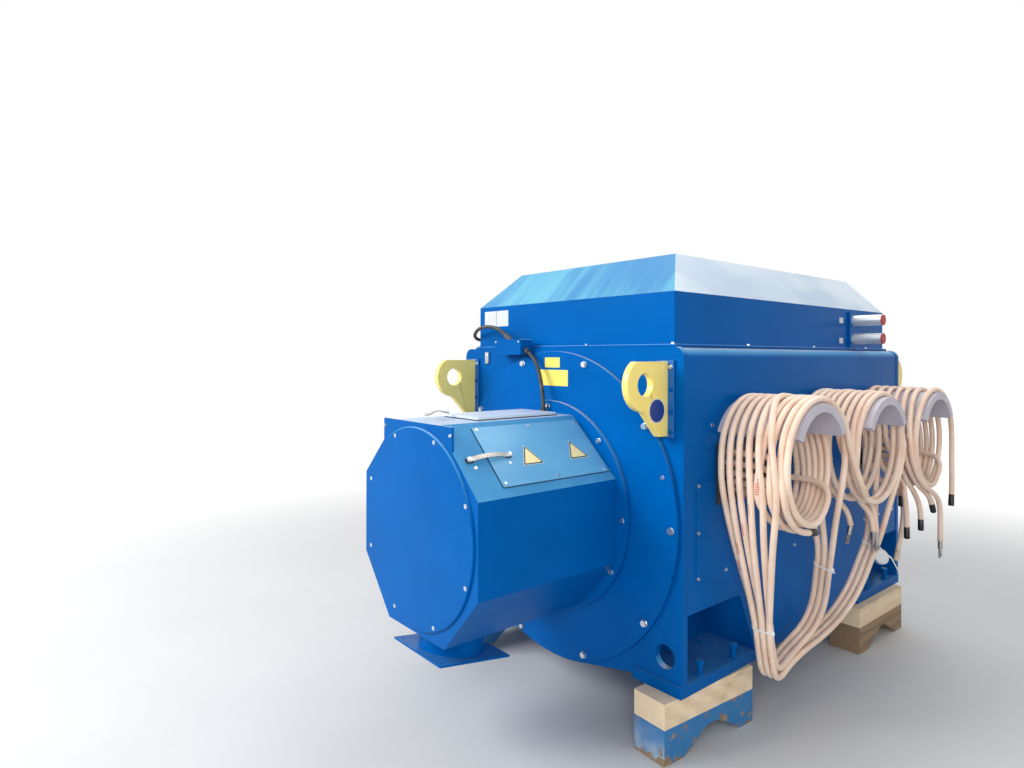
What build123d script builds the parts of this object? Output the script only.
"""Wind turbine generator: slip ring machine with a water cooled hood, on shipping timbers."""
import os
from math import atan2, cos, degrees, radians, sin, sqrt, tan

from build123d import *

# Working frame, in millimetres: x = 0 is the shaft's plane, +X the side with the power cables,
# y = 0 the face of the front end plate, +Y towards the drive end, z = 0 the floor.
# export_all() moves the origin to the middle of the floor area that the machine covers.

# Shipping supports
SKID_HEIGHT = 142.0
TIMBER_HEIGHT = 103.0
BLOCK_LENGTH = 575.0
BLOCK_WIDTH = 162.0
ARCH_LENGTH = 370.0
ARCH_HEIGHT = 85.0
ARCH_START = 115.0

# Stator frame
FRAME_WIDTH = 1468.0
FRAME_LENGTH = 2152.0
FRAME_HEIGHT = 1398.0
AXIS_HEIGHT = 663.0
END_PLATE = 30.0
TOP_RADIUS = 45.0
SKIN_INSET = 3.0
BARREL_RADIUS = 735.0
SIDE_WALL_CLEARANCE = 17.0

# Feet
FOOT_WIDTH = 250.0
FOOT_LENGTH = 570.0
FOOT_THICKNESS = 48.0
FOOT_LEDGE = 10.0
FOOT_HOLE_RADIUS = 16.5
FOOT_HOLE_INSET = 36.0
FOOT_HOLE_FIRST = 130.0
FOOT_HOLE_PITCH = 290.0
JACK_SCREW_RADIUS = 15.0
JACK_SCREW_HEIGHT = 62.0
JACK_SCREW_EDGE = 22.0
JACK_SCREW_PLACES = (146.0, 395.0)
POCKET_TOP_HEIGHT = 274.0
POCKET_TOP_LENGTH = 385.0
POCKET_BOTTOM_LENGTH = 505.0
ACCESS_HOLE_RADIUS = 49.0
ACCESS_HOLE_EDGE = 88.0
ACCESS_HOLE_HEIGHT = 93.0

# Side cover sheets
SIDE_COVER_LENGTH = 1972.0
SIDE_COVER_BOTTOM = 445.0
SIDE_COVER_HEIGHT = 400.0

# End shields, bearing housing and shaft
SHIELD_MARGIN = 14.0
SHIELD_THICKNESS = 22.0
ADAPTER_RADIUS = 486.0
ADAPTER_THICKNESS = 25.0
BEARING_RADIUS = 290.0
BEARING_LENGTH = 95.0
SHAFT_RADIUS = 80.0
SHAFT_LENGTH = 300.0
SHAFT_CHAMFER = 4.0
KEY_WIDTH = 40.0
KEY_DEPTH = 13.0
KEY_LENGTH = 220.0

# Slip ring housing
HOUSING_LENGTH = 725.0
HOUSING_HALF_WIDTH = 424.0
HOUSING_TOP_HALF_WIDTH = 165.0
HOUSING_BOTTOM_HALF_WIDTH = 210.0
HOUSING_TOP = 427.0
HOUSING_SHOULDER = 172.0
HOUSING_HIP = -186.0
HOUSING_BOTTOM = -425.0
FRONT_PLATE = 8.0
FRONT_TAB_HALF_WIDTH = 260.0
FRONT_COVER_RADIUS = 408.0
FRONT_COVER_THICKNESS = 10.0
SLANT_COVER_LENGTH = 580.0
SLANT_COVER_WIDTH = 290.0
SLANT_COVER_THICKNESS = 5.0
SLANT_COVER_EDGE = 30.0
SLANT_COVER_REAR_GAP = 12.0
LID_LENGTH = 450.0
LID_WIDTH = 240.0
LID_THICKNESS = 14.0
LID_REAR_GAP = 60.0
LID_CORNER = 10.0

# Exhaust duct under the slip ring housing
DUCT_TILT = 9.0
DUCT_RADIUS = 140.0
DUCT_WALL = 4.0
DUCT_SETBACK = 170.0
DUCT_DROP = 112.0
DUCT_FLANGE = 352.0
DUCT_FLANGE_THICKNESS = 8.0
DUCT_BOLT_CIRCLE = 420.0
DUCT_BOLT_RADIUS = 6.0
DUCT_INLET_DEPTH = 150.0

# Cooler
COOLER_BASE_THICKNESS = 12.0
COOLER_BASE_RIM = 16.0
COOLER_HALF_WIDTH = 660.0
COOLER_END_INSET = 42.0
COOLER_BOX_HEIGHT = 217.0
HOOD_HEIGHT = 188.0
HOOD_SIDE_INSET = 136.0
HOOD_END_INSET = 190.0
PIPE_RADIUS = 30.15
PIPE_BORE = 26.0
PIPE_REACH = 165.0
PIPE_FLOOR = 10.0
PIPE_SPACING = 102.0
PIPE_UPPER_BELOW_BEND = 64.0
PIPE_FROM_REAR = 472.0
PIPE_PLATE_THICKNESS = 12.0
PIPE_PLATE_WIDTH = 96.0
PIPE_PLATE_HEIGHT = 200.0
CAP_THICKNESS = 6.0
CAP_SPIGOT = 24.0
CAP_CLEARANCE = 0.3
CAP_LIP = 1.0

# Lifting lugs
LUG_THICKNESS = 30.0
LUG_X = 650.0
LUG_TOP_BELOW_FRAME = 60.0
LUG_HEIGHT = 300.0
LUG_REACH = 256.0
LUG_EYE_RADIUS = 46.0
LUG_EYE_OUT = 150.0
LUG_EYE_BELOW_TOP = 92.0
LUG_TOE = 62.0
LUG_PAD_THICKNESS = 12.0
LUG_PAD_WIDTH = 90.0
LUG_PAD_MARGIN = 6.0
LUG_PAD_CLEARANCE = 2.0

# Junction box and conduits
BOX_WIDTH = 205.0
BOX_DEPTH = 78.0
BOX_HEIGHT = 77.0
BOX_LEFT = -375.0
BOX_OVERLAP = 32.0
BOX_CORNER = 5.0
CONDUIT_RADIUS = 9.5
CONDUIT_GLAND_RADIUS = 14.0
CONDUIT_GLAND_LENGTH = 75.0
BOX_TOP_GLAND = (48.0, 36.0, 22.0)
BOX_SIDE_GLAND = (26.0, 30.0, 10.0)
COOLER_GLAND = (26.0, 198.0, 40.0)
HOUSING_GLAND = (-5.0, 28.0, 26.0)

# Saddles for the power cables
SADDLE_FIRST = 440.0
SADDLE_SPACING = 650.0
SADDLE_RADIUS = 219.0
SADDLE_WALL = 36.0
SADDLE_HALF_ANGLE = 66.0
SADDLE_REACH = 352.0
SADDLE_TOP = 1175.0

# Power cables: coils, gland plates behind them and lugs
CABLE_RADIUS = 13.0
COIL_START = 18.0
COIL_LENGTH = 330.0
COIL_DIAMETER = 530.0
COIL_THICKNESS = 27.0
CORD_CLEARANCE = 0.3
GLAND_PLATE_THICKNESS = 8.0
GLAND_PLATE_BORDER = 32.0
GLANDS_PER_PLATE = 6
GLAND_RADIUS = 20.0
GLAND_LENGTH = 20.0
GLAND_CIRCLE = 185.0
GLAND_FIRST_ANGLE = -118.0
GLAND_ANGLE_STEP = 14.0
COUNTER_GLAND_ANGLE = -34.0
EXIT_FIRST_X = 886.0
EXIT_PITCH = 27.0
EXIT_BEND = 52.0
LUG_BARREL_RADIUS = 11.0
LUG_BARREL_LENGTH = 42.0
LUG_PALM_WIDTH = 34.0
LUG_PALM_LENGTH = 46.0
LUG_PALM_THICKNESS = 6.0
LUG_PALM_HOLE = 8.5

# Levels and places worked out from the values above
FOOT_Z = SKID_HEIGHT + TIMBER_HEIGHT
FOOT_TOP = FOOT_Z + FOOT_THICKNESS
AXIS_Z = FOOT_Z + AXIS_HEIGHT
FRAME_TOP = FOOT_Z + FRAME_HEIGHT
HALF_WIDTH = FRAME_WIDTH / 2
SIDE_X = HALF_WIDTH - SKIN_INSET
SIDE_WALL_Z = FOOT_Z + SIDE_WALL_CLEARANCE
FOOT_INNER_X = HALF_WIDTH - FOOT_WIDTH
SHIELD_RADIUS = min(HALF_WIDTH, FRAME_TOP - AXIS_Z) - SHIELD_MARGIN
SHIELD_Y = -SHIELD_THICKNESS
ADAPTER_Y = SHIELD_Y - ADAPTER_THICKNESS
HOUSING_Y = ADAPTER_Y - HOUSING_LENGTH
FRONT_PLATE_Y = HOUSING_Y - FRONT_PLATE
HOUSING_TOP_Z = AXIS_Z + HOUSING_TOP
BOX_Z = FRAME_TOP - BOX_OVERLAP
COOLER_BASE_TOP = FRAME_TOP + COOLER_BASE_THICKNESS
BEND_Z = COOLER_BASE_TOP + COOLER_BOX_HEIGHT
SADDLE_TOP_Z = FOOT_Z + SADDLE_TOP
COIL_X = SIDE_X + COIL_START
COIL_Z = SADDLE_TOP_Z + CORD_CLEARANCE + COIL_THICKNESS - COIL_DIAMETER / 2
TURN_RADIUS = (COIL_DIAMETER - COIL_THICKNESS) / 2


def block(x0, x1, y0, y1, z0, z1):
    """Axis-aligned box between two corners."""
    size = (x1 - x0, y1 - y0, z1 - z0)
    middle = ((x0 + x1) / 2, (y0 + y1) / 2, (z0 + z1) / 2)
    return Pos(*middle) * Box(*size)


def disc(radius, y0, y1, x=0.0, z=AXIS_Z):
    """Cylinder along Y between two planes."""
    return Pos(x, (y0 + y1) / 2, z) * Rot(90, 0, 0) * Cylinder(radius, y1 - y0)


def rod_x(radius, x0, x1, y, z):
    """Cylinder along X between two planes."""
    return Pos((x0 + x1) / 2, y, z) * Rot(0, 90, 0) * Cylinder(radius, x1 - x0)


def rod_z(radius, z0, z1, x, y):
    """Cylinder along Z between two planes."""
    return Pos(x, y, (z0 + z1) / 2) * Cylinder(radius, z1 - z0)


def prism_y(points, y0, y1):
    """Outline of x, z points extruded along Y."""
    face = make_face(Polyline([(x, y0, z) for x, z in points], close=True))
    return extrude(face, amount=y1 - y0, dir=(0, 1, 0))


def prism_x(points, x0, x1):
    """Outline of y, z points extruded along X."""
    face = make_face(Polyline([(x0, y, z) for y, z in points], close=True))
    return extrude(face, amount=x1 - x0, dir=(1, 0, 0))


def mirror_x(shape):
    """Copy on the other side of the shaft's plane."""
    return mirror(shape, about=Plane.YZ)


def mirror_y(shape):
    """Copy at the other end of the stator frame."""
    middle = Plane(origin=(0, FRAME_LENGTH / 2, 0), z_dir=(0, 1, 0))
    return mirror(shape, about=middle)


def frame_section(inset, y0, y1):
    """The stator frame's cross section: box with rounded top edges and a round belly."""
    side = HALF_WIDTH - inset
    top = FRAME_TOP - inset
    radius = BARREL_RADIUS - inset
    low = SIDE_WALL_Z
    box = block(-side, side, y0, y1, low, top)
    edges = box.edges().filter_by(Axis.Y).group_by(Axis.Z)[-1]
    box = fillet(edges, TOP_RADIUS)
    drop = AXIS_Z - low
    reach = (FOOT_INNER_X ** 2 + drop ** 2) ** 0.5
    lean = degrees(atan2(FOOT_INNER_X, drop)) - degrees(atan2((reach ** 2 - radius ** 2) ** 0.5, radius))
    touch_x = radius * sin(radians(lean))
    touch_z = AXIS_Z - radius * cos(radians(lean))
    belly = prism_y(
        [(-FOOT_INNER_X, low), (-touch_x, touch_z), (touch_x, touch_z), (FOOT_INNER_X, low)], y0, y1
    )
    barrel = disc(radius, y0, y1) & block(-touch_x, touch_x, y0, y1, AXIS_Z - radius - 1, low)
    return (box + belly + barrel).clean()


def foot_notch(y0, y1):
    """Space above and beside one front foot, cut from whatever stands on it."""
    return block(FOOT_INNER_X, HALF_WIDTH + 1, y0, y1, SIDE_WALL_Z - 1, FOOT_TOP)


def end_plate():
    """Front end plate, with the access holes to the foot pockets."""
    plate = frame_section(0, 0, END_PLATE)
    notch = foot_notch(-1, END_PLATE + 1)
    hole = disc(ACCESS_HOLE_RADIUS, -1, END_PLATE + 1, HALF_WIDTH - ACCESS_HOLE_EDGE, FOOT_TOP + ACCESS_HOLE_HEIGHT)
    return plate - notch - mirror_x(notch) - hole - mirror_x(hole)


def foot_pocket():
    """Hollow above the front right foot, open to the side, with a raked end."""
    z0 = FOOT_TOP
    z1 = FOOT_TOP + POCKET_TOP_HEIGHT
    points = [
        (END_PLATE, z0),
        (END_PLATE + POCKET_BOTTOM_LENGTH, z0),
        (END_PLATE + POCKET_TOP_LENGTH, z1),
        (END_PLATE, z1),
    ]
    return prism_x(points, FOOT_INNER_X, HALF_WIDTH + 1)


def stator_housing():
    """Closed frame between the end plates, with a pocket over each foot."""
    body = frame_section(SKIN_INSET, END_PLATE, FRAME_LENGTH - END_PLATE)
    corner = foot_pocket() + foot_notch(0, FOOT_LENGTH - FOOT_LEDGE)
    for cut in (corner, mirror_x(corner), mirror_y(corner), mirror_x(mirror_y(corner))):
        body -= cut
    return body


def foot():
    """Front right foot plate with its two hold-down holes."""
    plate = block(FOOT_INNER_X, HALF_WIDTH, -FOOT_LEDGE, FOOT_LENGTH - FOOT_LEDGE, FOOT_Z, FOOT_TOP)
    for index in range(2):
        y = FOOT_HOLE_FIRST + index * FOOT_HOLE_PITCH
        plate -= rod_z(FOOT_HOLE_RADIUS, FOOT_Z - 1, FOOT_TOP + 1, FOOT_INNER_X + FOOT_HOLE_INSET, y)
    return plate


def jack_screw(y):
    """Levelling screw that stands on a foot plate: collar, shank and hexagon head."""
    x = HALF_WIDTH - JACK_SCREW_EDGE
    z1 = FOOT_TOP + JACK_SCREW_HEIGHT
    head = JACK_SCREW_HEIGHT * 0.3
    shank = rod_z(JACK_SCREW_RADIUS * 0.8, FOOT_TOP, z1, x, y)
    collar = rod_z(JACK_SCREW_RADIUS * 1.3, FOOT_TOP, FOOT_TOP + head / 2, x, y)
    hexagon = extrude(Pos(x, y, z1 - head) * RegularPolygon(JACK_SCREW_RADIUS * 1.2, 6), amount=head)
    return shank + collar + hexagon


def jack_screws():
    """All levelling screws of the four feet."""
    screws = []
    for y in JACK_SCREW_PLACES:
        one = jack_screw(y)
        screws += [one, mirror_x(one), mirror_y(one), mirror_x(mirror_y(one))]
    return Compound(screws)


def side_cover():
    """Sheet that closes the lower part of the cable side."""
    y0 = (FRAME_LENGTH - SIDE_COVER_LENGTH) / 2
    z0 = FOOT_Z + SIDE_COVER_BOTTOM
    return block(SIDE_X, HALF_WIDTH, y0, y0 + SIDE_COVER_LENGTH, z0, z0 + SIDE_COVER_HEIGHT)


def drive_shaft():
    """Shaft extension at the drive end with its keyway."""
    y0 = FRAME_LENGTH + SHIELD_THICKNESS + BEARING_LENGTH
    y1 = y0 + SHAFT_LENGTH
    shaft = disc(SHAFT_RADIUS, y0, y1)
    shaft = chamfer(shaft.edges().filter_by(GeomType.CIRCLE).group_by(Axis.Y)[-1], SHAFT_CHAMFER)
    top = AXIS_Z + SHAFT_RADIUS
    return shaft - block(-KEY_WIDTH / 2, KEY_WIDTH / 2, y1 - KEY_LENGTH, y1 + 1, top - KEY_DEPTH, top + 1)


def bearing_housing():
    """Stepped bearing housing on the drive end shield."""
    y0 = FRAME_LENGTH + SHIELD_THICKNESS
    y1 = y0 + BEARING_LENGTH
    step = y0 + BEARING_LENGTH * 0.6
    return disc(BEARING_RADIUS, y0, step) + disc(BEARING_RADIUS * 0.62, step, y1)


def housing_outline():
    """Half outline of the slip ring housing, x and z from the shaft axis, top to bottom."""
    return [
        (HOUSING_TOP_HALF_WIDTH, HOUSING_TOP),
        (HOUSING_HALF_WIDTH, HOUSING_SHOULDER),
        (HOUSING_HALF_WIDTH, HOUSING_HIP),
        (HOUSING_BOTTOM_HALF_WIDTH, HOUSING_BOTTOM),
    ]


def full_outline(half):
    """Both sides of an outline given for +X, as x and z in the working frame."""
    right = [(x, AXIS_Z + z) for x, z in half]
    left = [(-x, z) for x, z in reversed(right)]
    return right + left


def duct_place():
    """Plane at the exhaust flange's lower face, tilted towards the front."""
    y = HOUSING_Y + DUCT_SETBACK
    z = AXIS_Z + HOUSING_BOTTOM - DUCT_DROP
    return Pos(0, y, z) * Rot(-DUCT_TILT, 0, 0)


def duct_rise():
    """Length of the duct's axis from the flange's lower face to the housing's underside."""
    return DUCT_DROP / cos(radians(DUCT_TILT))


def slip_ring_housing():
    """Welded eight-sided housing with the air outlet in its underside."""
    body = prism_y(full_outline(housing_outline()), HOUSING_Y, ADAPTER_Y)
    inside = DUCT_RADIUS - DUCT_WALL
    reach = DUCT_INLET_DEPTH + DUCT_RADIUS
    tool = duct_place() * Pos(0, 0, duct_rise() + reach / 2 - DUCT_RADIUS) * Cylinder(inside, reach + DUCT_RADIUS)
    return body - tool


def slip_ring_front_plate():
    """Frame plate at the housing's front, with two tabs that stand proud at the top."""
    slope = (HOUSING_TOP - HOUSING_SHOULDER) / (HOUSING_HALF_WIDTH - HOUSING_TOP_HALF_WIDTH)
    notch = HOUSING_SHOULDER + (HOUSING_HALF_WIDTH - FRONT_TAB_HALF_WIDTH) * slope
    half = [(FRONT_TAB_HALF_WIDTH, HOUSING_TOP), (FRONT_TAB_HALF_WIDTH, notch)] + housing_outline()[1:]
    return prism_y(full_outline(half), FRONT_PLATE_Y, HOUSING_Y)


def slip_ring_front_cover():
    """Round cover with a dished rim on the front plate."""
    cover = disc(FRONT_COVER_RADIUS, FRONT_PLATE_Y - FRONT_COVER_THICKNESS, FRONT_PLATE_Y)
    return chamfer(cover.edges().filter_by(GeomType.CIRCLE).group_by(Axis.Y)[0], FRONT_COVER_THICKNESS * 0.4)


def slanted_cover():
    """Screwed cover on the housing's right slanted face."""
    run = HOUSING_HALF_WIDTH - HOUSING_TOP_HALF_WIDTH
    rise = HOUSING_TOP - HOUSING_SHOULDER
    slope = degrees(atan2(rise, run))
    cover = Box(SLANT_COVER_WIDTH, SLANT_COVER_LENGTH, SLANT_COVER_THICKNESS)
    along = SLANT_COVER_EDGE + SLANT_COVER_WIDTH / 2
    y = ADAPTER_Y - SLANT_COVER_REAR_GAP - SLANT_COVER_LENGTH / 2
    start = Pos(HOUSING_TOP_HALF_WIDTH, y, AXIS_Z + HOUSING_TOP) * Rot(0, slope, 0)
    return start * Pos(along, 0, SLANT_COVER_THICKNESS / 2) * cover


def slip_ring_lid():
    """Bolted inspection lid on the housing's flat top."""
    y1 = ADAPTER_Y - LID_REAR_GAP
    lid = block(-LID_WIDTH / 2, LID_WIDTH / 2, y1 - LID_LENGTH, y1, HOUSING_TOP_Z, HOUSING_TOP_Z + LID_THICKNESS)
    return fillet(lid.edges().filter_by(Axis.Z), LID_CORNER)


def exhaust_duct():
    """Round stub from the housing's underside to the tilted flange."""
    rise = duct_rise() + DUCT_RADIUS * tan(radians(DUCT_TILT)) + 10
    long_tube = Cylinder(DUCT_RADIUS, rise) - Cylinder(DUCT_RADIUS - DUCT_WALL, rise + 2)
    tube = duct_place() * Pos(0, 0, DUCT_FLANGE_THICKNESS + rise / 2) * long_tube
    floor = AXIS_Z + HOUSING_BOTTOM
    reach = DUCT_FLANGE
    y = HOUSING_Y + DUCT_SETBACK
    return tube & block(-reach, reach, y - reach, y + reach, floor - reach, floor)


def exhaust_flange():
    """Square flange of the exhaust duct with four bolt holes."""
    plate = Box(DUCT_FLANGE, DUCT_FLANGE, DUCT_FLANGE_THICKNESS)
    plate -= Cylinder(DUCT_RADIUS - DUCT_WALL, DUCT_FLANGE_THICKNESS + 2)
    offset = DUCT_BOLT_CIRCLE / 2 * cos(radians(45))
    for x in (-offset, offset):
        for y in (-offset, offset):
            plate -= Pos(x, y, 0) * Cylinder(DUCT_BOLT_RADIUS, DUCT_FLANGE_THICKNESS + 2)
    return duct_place() * Pos(0, 0, DUCT_FLANGE_THICKNESS / 2) * plate


def cooler_base():
    """Rim plate between the frame and the cooler."""
    side = COOLER_HALF_WIDTH + COOLER_BASE_RIM
    y0 = COOLER_END_INSET - COOLER_BASE_RIM
    return block(-side, side, y0, FRAME_LENGTH - y0, FRAME_TOP, COOLER_BASE_TOP)


def cooler_box():
    """Upright part of the cooler housing."""
    y0 = COOLER_END_INSET
    return block(-COOLER_HALF_WIDTH, COOLER_HALF_WIDTH, y0, FRAME_LENGTH - y0, COOLER_BASE_TOP, BEND_Z)


def cooler_hood():
    """Hipped hood with a flat top."""
    length = FRAME_LENGTH - 2 * COOLER_END_INSET
    low = Pos(0, FRAME_LENGTH / 2, BEND_Z) * Rectangle(2 * COOLER_HALF_WIDTH, length)
    top_width = 2 * (COOLER_HALF_WIDTH - HOOD_SIDE_INSET)
    top_length = length - 2 * HOOD_END_INSET
    high = Pos(0, FRAME_LENGTH / 2, BEND_Z + HOOD_HEIGHT) * Rectangle(top_width, top_length)
    return loft([low.face(), high.face()], ruled=True)


def pipe_levels():
    """Heights of the upper and the lower water pipe."""
    upper = BEND_Z - PIPE_UPPER_BELOW_BEND
    return upper, upper - PIPE_SPACING


def pipe_plate():
    """Connection plate on the cooler's side that carries both water pipes."""
    y = FRAME_LENGTH - PIPE_FROM_REAR
    upper, lower = pipe_levels()
    middle = (upper + lower) / 2
    x0 = COOLER_HALF_WIDTH
    half = PIPE_PLATE_HEIGHT / 2
    return block(
        x0, x0 + PIPE_PLATE_THICKNESS, y - PIPE_PLATE_WIDTH / 2, y + PIPE_PLATE_WIDTH / 2, middle - half, middle + half
    )


def water_pipes():
    """Cooling water inlet and outlet stubs."""
    y = FRAME_LENGTH - PIPE_FROM_REAR
    x0 = COOLER_HALF_WIDTH + PIPE_PLATE_THICKNESS
    x1 = COOLER_HALF_WIDTH + PIPE_REACH
    pipes = []
    for z in pipe_levels():
        pipes.append(rod_x(PIPE_RADIUS, x0, x1, y, z) - rod_x(PIPE_BORE, x0 + PIPE_FLOOR, x1 + 1, y, z))
    return Compound(pipes)


def pipe_caps():
    """Protective plugs in the ends of the water pipes."""
    y = FRAME_LENGTH - PIPE_FROM_REAR
    x1 = COOLER_HALF_WIDTH + PIPE_REACH
    caps = []
    for z in pipe_levels():
        head = rod_x(PIPE_RADIUS - CAP_LIP, x1, x1 + CAP_THICKNESS, y, z)
        caps.append(head + rod_x(PIPE_BORE - CAP_CLEARANCE, x1 - CAP_SPIGOT, x1, y, z))
    return Compound(caps)


def lifting_lug():
    """Front right lifting lug: eye plate with a rounded nose, welded to a bolted pad."""
    root = -LUG_PAD_THICKNESS
    top = FRAME_TOP - LUG_TOP_BELOW_FRAME
    low = top - LUG_HEIGHT
    nose = LUG_REACH - LUG_EYE_OUT
    eye_y = -LUG_EYE_OUT
    eye_z = top - LUG_EYE_BELOW_TOP
    bar_top = eye_z + nose
    points = [(root, low), (root, top), (eye_y, bar_top), (eye_y - nose, eye_z), (-LUG_TOE, low)]
    x0 = LUG_X - LUG_THICKNESS / 2
    x1 = LUG_X + LUG_THICKNESS / 2
    plate = prism_x(points, x0, x1) + rod_x(nose, x0, x1, eye_y, eye_z)
    ceiling = block(x0 - 1, x1 + 1, -LUG_REACH - 1, root, top, bar_top + 1)
    plate = plate - ceiling - rod_x(LUG_EYE_RADIUS, x0 - 1, x1 + 1, eye_y, eye_z)
    pad_x0 = LUG_X - LUG_PAD_WIDTH / 2
    pad = block(pad_x0, pad_x0 + LUG_PAD_WIDTH, root, 0, low - LUG_PAD_MARGIN, top + LUG_PAD_MARGIN)
    return plate + pad - disc(SHIELD_RADIUS + LUG_PAD_CLEARANCE, root - 1, 1)


def junction_box():
    """Small terminal box on the front edge of the frame."""
    box = block(BOX_LEFT, BOX_LEFT + BOX_WIDTH, -BOX_DEPTH, 0, BOX_Z, BOX_Z + BOX_HEIGHT)
    return fillet(box.edges().filter_by(Axis.Y), BOX_CORNER)


# How far each inner point of a conduit stands off the straight line between its two glands
COOLER_CONDUIT_BOW = [
    (-8, -22, 24), (-23, -42, 42), (-45, -62, 54), (-73, -80, 57), (-101, -96, 52), (-126, -107, 36),
    (-146, -104, 15), (-148, -84, 0), (-132, -52, -6), (-101, -21, -6), (-54, 2, -2),
]
HOUSING_CONDUIT_BOW = [
    (12, 0, 22), (28, -2, 26), (36, -4, 18), (38, -6, 7), (32, -6, -5), (19, -4, -10),
]


def bowed(start, end, bow):
    """Points evenly spaced from start to end, each moved by its step of the bow."""
    points = [start]
    for index, step in enumerate(bow, 1):
        share = index / (len(bow) + 1)
        points.append(tuple(a + (b - a) * share + d for a, b, d in zip(start, end, step)))
    return points + [end]


def conduit_routes():
    """Points of the two conduits: junction box to cooler, and junction box to slip ring housing."""
    x, y, z = BOX_TOP_GLAND
    box_top = (BOX_LEFT + x, y - BOX_DEPTH, BOX_Z + BOX_HEIGHT + z)
    x, y, z = COOLER_GLAND
    cooler = (-COOLER_HALF_WIDTH - x, COOLER_END_INSET + y, COOLER_BASE_TOP + z)
    x, y, z = BOX_SIDE_GLAND
    box_side = (BOX_LEFT + BOX_WIDTH + x, y - BOX_DEPTH, BOX_Z + z)
    x, y, z = HOUSING_GLAND
    housing = (x, ADAPTER_Y - y, HOUSING_TOP_Z + z)
    return bowed(box_top, cooler, COOLER_CONDUIT_BOW), bowed(box_side, housing, HOUSING_CONDUIT_BOW)


def saddle_centres():
    """Positions of the three cable saddles along the frame."""
    return [SADDLE_FIRST + index * SADDLE_SPACING for index in range(3)]


def cable_saddle(y):
    """Curved hanger for a coil of power cable."""
    z = SADDLE_TOP_Z - SADDLE_RADIUS
    x0 = SIDE_X
    x1 = x0 + SADDLE_REACH
    ring = rod_x(SADDLE_RADIUS, x0, x1, y, z) - rod_x(SADDLE_RADIUS - SADDLE_WALL, x0 - 1, x1 + 1, y, z)
    reach = 2 * SADDLE_RADIUS
    side = reach * tan(radians(SADDLE_HALF_ANGLE))
    wedge = prism_x([(y, z), (y + side, z + reach), (y - side, z + reach)], x0 - 2, x1 + 2)
    return ring & wedge


def cable_coil(y):
    """Outer shape of the cable turns on one saddle."""
    x1 = COIL_X + COIL_LENGTH
    inner = COIL_DIAMETER / 2 - COIL_THICKNESS
    return rod_x(COIL_DIAMETER / 2, COIL_X, x1, y, COIL_Z) - rod_x(inner, COIL_X - 1, x1 + 1, y, COIL_Z)


# Middle of the three strands of each hanging loop, from the front tie down, round and up again
LOOP_TO_COIL_1 = [
    (868, 365, 495), (866, 392, 385), (861, 428, 305), (848, 492, 275), (826, 605, 284), (812, 735, 298),
    (826, 835, 345), (850, 868, 425), (877, 848, 515), (907, 802, 615), (945, 752, 750),
]
LOOP_TO_COIL_2 = [
    (880, 338, 485), (878, 362, 375), (873, 396, 283), (855, 470, 240), (832, 600, 255), (820, 755, 268),
    (822, 925, 285), (835, 1075, 330), (856, 1180, 405), (880, 1236, 495), (910, 1258, 610), (952, 1262, 735),
]
STRAND_PITCH = 28.5

# Where the strands of each loop leave coil 1 and where they join the next coil, along X
LEAVE_X = ((785, 865, 965), (825, 912, 1025))
JOIN_X = ((890, 945, 1045), (870, 930, 1040))

# Free ends of the cables that hang from the coils, and whether each ends in a lug
TAILS = [
    ([(1075, 717, 1178), (1080, 751, 1110), (1085, 790, 1050), (1086, 820, 1000)], False),
    ([(1020, 560, 941.8), (1022, 568, 905), (1022, 574, 865), (1020, 577, 826)], False),
    ([(976, 520, 927.9), (977, 526, 897), (976, 530, 866), (974, 531, 836)], False),
    ([(936, 580, 951.8), (937, 587, 915), (936, 591, 882), (933, 592, 850)], False),
    ([(920, 1087, 916), (921, 1090, 876), (918, 1089, 835), (912, 1083, 795)], True),
    ([(990, 1140, 920.2), (991, 1143, 870), (989, 1146, 820), (987, 1152, 772)], True),
    ([(972, 1180, 928.5), (978, 1182, 872), (984, 1184, 815), (987, 1187, 762)], True),
    ([(970, 1580, 959.8), (972, 1592, 860), (973, 1606, 760), (970, 1618, 655)], False),
    ([(930, 1650, 926.2), (931, 1656, 890), (930, 1659, 850), (927, 1660, 810)], False),
    ([(1000, 1705, 916), (1002, 1715, 840), (1001, 1726, 760), (998, 1730, 685)], False),
    ([(1040, 1757, 915), (1042, 1768, 872), (1041, 1782, 825), (1038, 1790, 780)], False),
    ([(1066, 1796, 920.6), (1070, 1799, 830), (1069, 1795, 730), (1068, 1797, 630)], True),
    ([(1060, 1992, 1067), (1062, 1994, 970), (1063, 1991, 875), (1061, 1986, 790)], False),
    ([(880, 1830, 927.4), (883, 1822, 805), (884, 1800, 685), (878, 1770, 572), (872, 1742, 490)], False),
]


def between(start, end, share, shift_y):
    """Point at a share of the way from start to end, moved along Y."""
    x, y, z = (a + (b - a) * share for a, b in zip(start, end))
    return (x, y + shift_y, z)


def loop_route(loop, strand):
    """One strand that hangs down from coil 1 and rises to its next coil."""
    middle = (LOOP_TO_COIL_1, LOOP_TO_COIL_2)[loop]
    shift = (strand - 1) * STRAND_PITCH
    hanging = [(x + shift, y, z) for x, y, z in middle]
    drop = sqrt((COIL_DIAMETER / 2) ** 2 - (TURN_RADIUS - CABLE_RADIUS) ** 2) + 3
    leave = (LEAVE_X[loop][strand], saddle_centres()[0] - TURN_RADIUS, COIL_Z - drop)
    join = (JOIN_X[loop][strand], saddle_centres()[loop] + TURN_RADIUS, COIL_Z - drop)
    down = [leave, between(leave, hanging[0], 0.35, -14), between(leave, hanging[0], 0.68, -8)]
    up = [between(hanging[-1], join, 0.5, -8), join]
    return down + hanging + up


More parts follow.
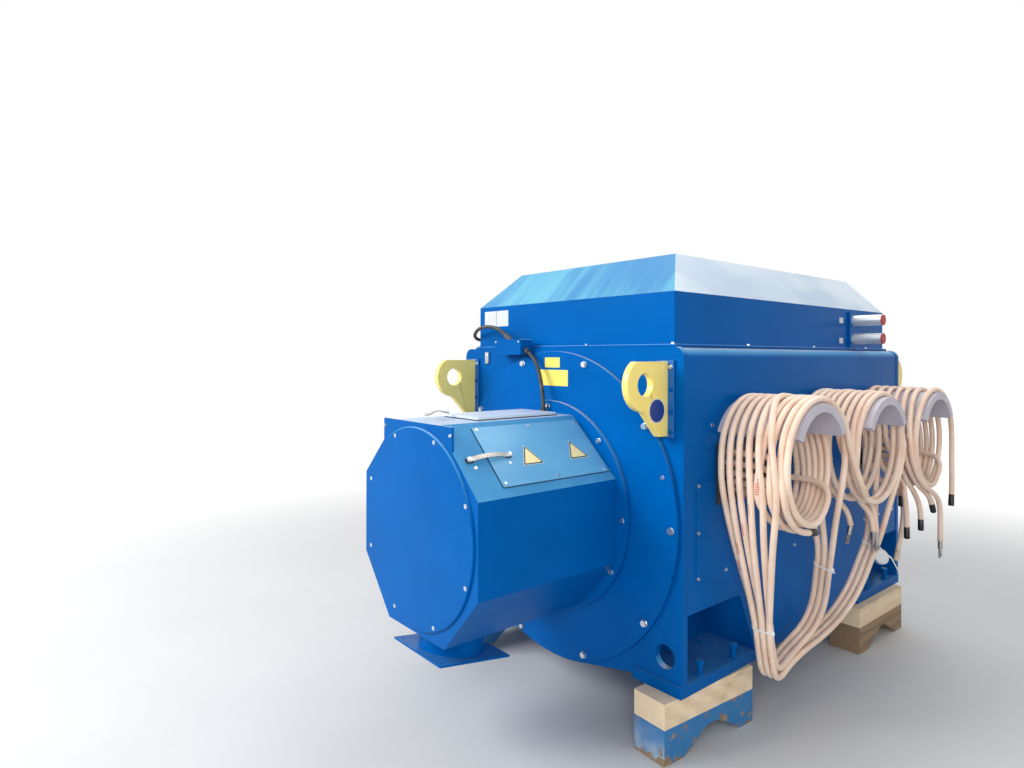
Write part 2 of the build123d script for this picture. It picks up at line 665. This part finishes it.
def gland_places(y):
    """Angle, y and z of the cable glands inside one coil; the last cable winds the other way round."""
    angles = [GLAND_FIRST_ANGLE - index * GLAND_ANGLE_STEP for index in range(GLANDS_PER_PLATE)]
    angles.append(COUNTER_GLAND_ANGLE)
    places = []
    for angle in map(radians, angles):
        places.append((angle, y + GLAND_CIRCLE * cos(angle), COIL_Z + GLAND_CIRCLE * sin(angle)))
    return places


def cable_glands(y):
    """Gland plate on the side cover with its cable glands."""
    places = gland_places(y)
    ys = [place[1] for place in places]
    zs = [place[2] for place in places]
    face = HALF_WIDTH + GLAND_PLATE_THICKNESS
    edge = GLAND_PLATE_BORDER
    plate = block(HALF_WIDTH, face, min(ys) - edge, max(ys) + edge, min(zs) - edge, max(zs) + edge)
    for angle, gland_y, gland_z in places:
        plate += rod_x(GLAND_RADIUS, face, face + GLAND_LENGTH, gland_y, gland_z)
    return plate


def exit_routes(y):
    """Cables from the glands into the coil: along the axis, then round with the turns."""
    tip = HALF_WIDTH + GLAND_PLATE_THICKNESS + GLAND_LENGTH
    inner = COIL_DIAMETER / 2 - COIL_THICKNESS
    along = sqrt(inner ** 2 - (GLAND_CIRCLE + CABLE_RADIUS) ** 2) - 1
    routes = []
    for index, (angle, gland_y, gland_z) in enumerate(gland_places(y)):
        way = 1 if index < GLANDS_PER_PLATE else -1
        turn_y = -sin(angle) * way
        turn_z = cos(angle) * way
        x = EXIT_FIRST_X + index * EXIT_PITCH
        route = [(tip, gland_y, gland_z)]
        if index > 1:
            route.append((tip + 0.36 * (x - EXIT_BEND - tip), gland_y, gland_z))
            gland_y += 1
            gland_z += 1
        route.append((x - EXIT_BEND, gland_y, gland_z))
        route.append((x, gland_y + EXIT_BEND * turn_y, gland_z + EXIT_BEND * turn_z))
        route.append((x, gland_y + along * turn_y, gland_z + along * turn_z))
        routes.append(route)
    return routes


def tube(points, radius):
    """Round tube along straight runs joined by tangent arcs as large as the runs allow."""
    places = [Vector(*point) for point in points]
    runs = [b - a for a, b in zip(places, places[1:])]
    radii = []
    for before, after in zip(runs, runs[1:]):
        shorter = min(before.length, after.length)
        radii.append(0.45 * shorter / tan(radians(before.get_angle(after) / 2)))
    path = FilletPolyline(*points, radius=radii)
    section = Plane(origin=path @ 0, z_dir=path % 0) * Circle(radius)
    solid = sweep(section, path=path)
    ideal = path.length * 3.14159265 * radius ** 2
    print(f"tube length {path.length:.0f} smallest arc {min(radii):.0f} volume ratio {solid.volume / ideal:.4f}")
    return solid


def facing(point, towards):
    """Plane at a point whose normal is the given direction, with its X kept near the X axis."""
    normal = towards.normalized()
    across = Vector(1, 0, 0) - normal * normal.X
    return Plane(origin=point, x_dir=across, z_dir=normal)


def cable_lug(route):
    """Crimped cable lug on the end of a cable."""
    end = Vector(*route[-1])
    place = facing(end, end - Vector(*route[-2]))
    length = LUG_BARREL_LENGTH + LUG_PALM_LENGTH
    palm_z = length - (LUG_PALM_LENGTH + 4) / 2
    lug = Pos(0, 0, LUG_BARREL_LENGTH / 2) * Cylinder(LUG_BARREL_RADIUS, LUG_BARREL_LENGTH)
    lug += Pos(0, 0, palm_z) * Box(LUG_PALM_THICKNESS, LUG_PALM_WIDTH, LUG_PALM_LENGTH + 4)
    hole = Rot(0, 90, 0) * Cylinder(LUG_PALM_HOLE, 2 * LUG_PALM_THICKNESS)
    return place * (lug - Pos(0, 0, length - LUG_PALM_WIDTH / 2) * hole)


def conduit_gland(route, host):
    """Angled gland that leads a conduit out of its host."""
    tip = Vector(*route[0])
    place = Plane(origin=tip, z_dir=tip - Vector(*route[1]))
    body = place * Pos(0, 0, CONDUIT_GLAND_LENGTH / 2) * Cylinder(CONDUIT_GLAND_RADIUS, CONDUIT_GLAND_LENGTH)
    return body - host


def conduit_glands():
    """Glands at both ends of the two conduits."""
    to_cooler, to_housing = conduit_routes()
    ends = [
        (to_cooler, junction_box()), (to_cooler[::-1], cooler_box()),
        (to_housing, junction_box()), (to_housing[::-1], slip_ring_housing()),
    ]
    return Compound([conduit_gland(route, host) for route, host in ends])


def support(x, y, turn, z0, z1):
    """One block of the shipping supports, lying along Y."""
    return Pos(x, y, (z0 + z1) / 2) * Rot(0, 0, turn) * Box(BLOCK_WIDTH, BLOCK_LENGTH, z1 - z0)


def skid(x, y, turn):
    """Lower block with an arched notch for the floor side."""
    body = support(x, y, turn, 0, SKID_HEIGHT)
    y0 = -BLOCK_LENGTH / 2 + ARCH_START
    y1 = y0 + ARCH_LENGTH
    middle = (y0 + y1) / 2
    quarter = ARCH_LENGTH / 4
    curve = Spline(
        [(0, y0, 0), (0, y0 + quarter, ARCH_HEIGHT * 0.62), (0, middle, ARCH_HEIGHT),
         (0, y1 - quarter, ARCH_HEIGHT * 0.62), (0, y1, 0)]
    )
    arch = extrude(make_face(curve + Line((0, y1, 0), (0, y0, 0))), amount=BLOCK_WIDTH, both=True, dir=(1, 0, 0))
    return body - Pos(x, y, 0) * Rot(0, 0, turn) * arch


# Middle of each support pair and its turn about the vertical, for the right-hand side
FRONT_SUPPORT = (650.5, 205.0, -4.0)
REAR_SUPPORT = (692.5, 1811.0, 0.0)


def supports(front, rear):
    """The four blocks of one layer, from the right-hand ones."""
    return Compound([front, mirror_x(front), rear, mirror_x(rear)])


def build():
    """All nodes by name, in the working frame."""
    nodes = {}
    nodes["front_end_plate"] = end_plate()
    nodes["rear_end_plate"] = mirror_y(end_plate())
    nodes["stator_housing"] = stator_housing()
    nodes["foot_front_right"] = foot()
    nodes["foot_front_left"] = mirror_x(foot())
    nodes["foot_rear_right"] = mirror_y(foot())
    nodes["foot_rear_left"] = mirror_x(mirror_y(foot()))
    nodes["jack_screws"] = jack_screws()
    nodes["side_cover_right"] = side_cover()
    nodes["side_cover_left"] = mirror_x(side_cover())
    nodes["front_end_shield"] = disc(SHIELD_RADIUS, SHIELD_Y, 0)
    nodes["slip_ring_adapter"] = disc(ADAPTER_RADIUS, ADAPTER_Y, SHIELD_Y)
    nodes["rear_end_shield"] = disc(SHIELD_RADIUS, FRAME_LENGTH, FRAME_LENGTH + SHIELD_THICKNESS)
    nodes["bearing_housing"] = bearing_housing()
    nodes["drive_shaft"] = drive_shaft()
    nodes["slip_ring_housing"] = slip_ring_housing()
    nodes["slip_ring_front_plate"] = slip_ring_front_plate()
    nodes["slip_ring_front_cover"] = slip_ring_front_cover()
    nodes["slanted_cover_right"] = slanted_cover()
    nodes["slanted_cover_left"] = mirror_x(slanted_cover())
    nodes["slip_ring_lid"] = slip_ring_lid()
    nodes["exhaust_duct"] = exhaust_duct()
    nodes["exhaust_flange"] = exhaust_flange()
    nodes["cooler_base"] = cooler_base()
    nodes["cooler_box"] = cooler_box()
    nodes["cooler_hood"] = cooler_hood()
    nodes["pipe_plate"] = pipe_plate()
    nodes["water_pipes"] = water_pipes()
    nodes["pipe_caps"] = pipe_caps()
    nodes["lifting_lug_front_right"] = lifting_lug()
    nodes["lifting_lug_front_left"] = mirror_x(lifting_lug())
    nodes["lifting_lug_rear_right"] = mirror_y(lifting_lug())
    nodes["lifting_lug_rear_left"] = mirror_x(mirror_y(lifting_lug()))
    nodes["junction_box"] = junction_box()
    nodes["conduit_to_cooler"], nodes["conduit_to_housing"] = (tube(r, CONDUIT_RADIUS) for r in conduit_routes())
    nodes["conduit_glands"] = conduit_glands()
    nodes["cable_saddles"] = Compound([cable_saddle(y) for y in saddle_centres()])
    for number, y in enumerate(saddle_centres(), 1):
        nodes[f"cable_coil_{number}"] = cable_coil(y)
    gland_rows = saddle_centres()[::2]
    nodes["cable_glands"] = Compound([cable_glands(y) for y in gland_rows])
    exits = [route for y in gland_rows for route in exit_routes(y)]
    nodes["cable_exits"] = Compound([tube(route, CABLE_RADIUS) for route in exits])
    for loop in range(2):
        strands = [tube(loop_route(loop, strand), CABLE_RADIUS) for strand in range(3)]
        nodes[f"cable_loop_to_coil_{loop + 1}"] = Compound(strands)
    nodes["cable_tails"] = Compound([tube(route, CABLE_RADIUS) for route, has_lug in TAILS])
    nodes["cable_lugs"] = Compound([cable_lug(route) for route, has_lug in TAILS if has_lug])
    nodes["skids"] = supports(skid(*FRONT_SUPPORT), skid(*REAR_SUPPORT))
    layer = (SKID_HEIGHT, FOOT_Z)
    nodes["timbers"] = supports(support(*FRONT_SUPPORT, *layer), support(*REAR_SUPPORT, *layer))
    return nodes


CORD_NODES = (
    "cable_coil_1", "cable_coil_2", "cable_coil_3", "cable_exits", "cable_loop_to_coil_1",
    "cable_loop_to_coil_2", "cable_tails", "cable_lugs",
)


def export_all(nodes):
    """Move the origin to the middle of the floor area and write one file per node."""
    rigid = [shape for name, shape in nodes.items() if name not in CORD_NODES]
    bounds = Compound(rigid).bounding_box()
    middle_x = (bounds.min.X + bounds.max.X) / 2
    middle_y = (bounds.min.Y + bounds.max.Y) / 2
    print("origin in the working frame", round(middle_x, 3), round(middle_y, 3), round(bounds.min.Z, 3))
    os.makedirs("parts", exist_ok=True)
    for name, shape in nodes.items():
        export_step(Pos(-middle_x, -middle_y, 0) * shape, f"parts/{name}.step")


export_all(build())
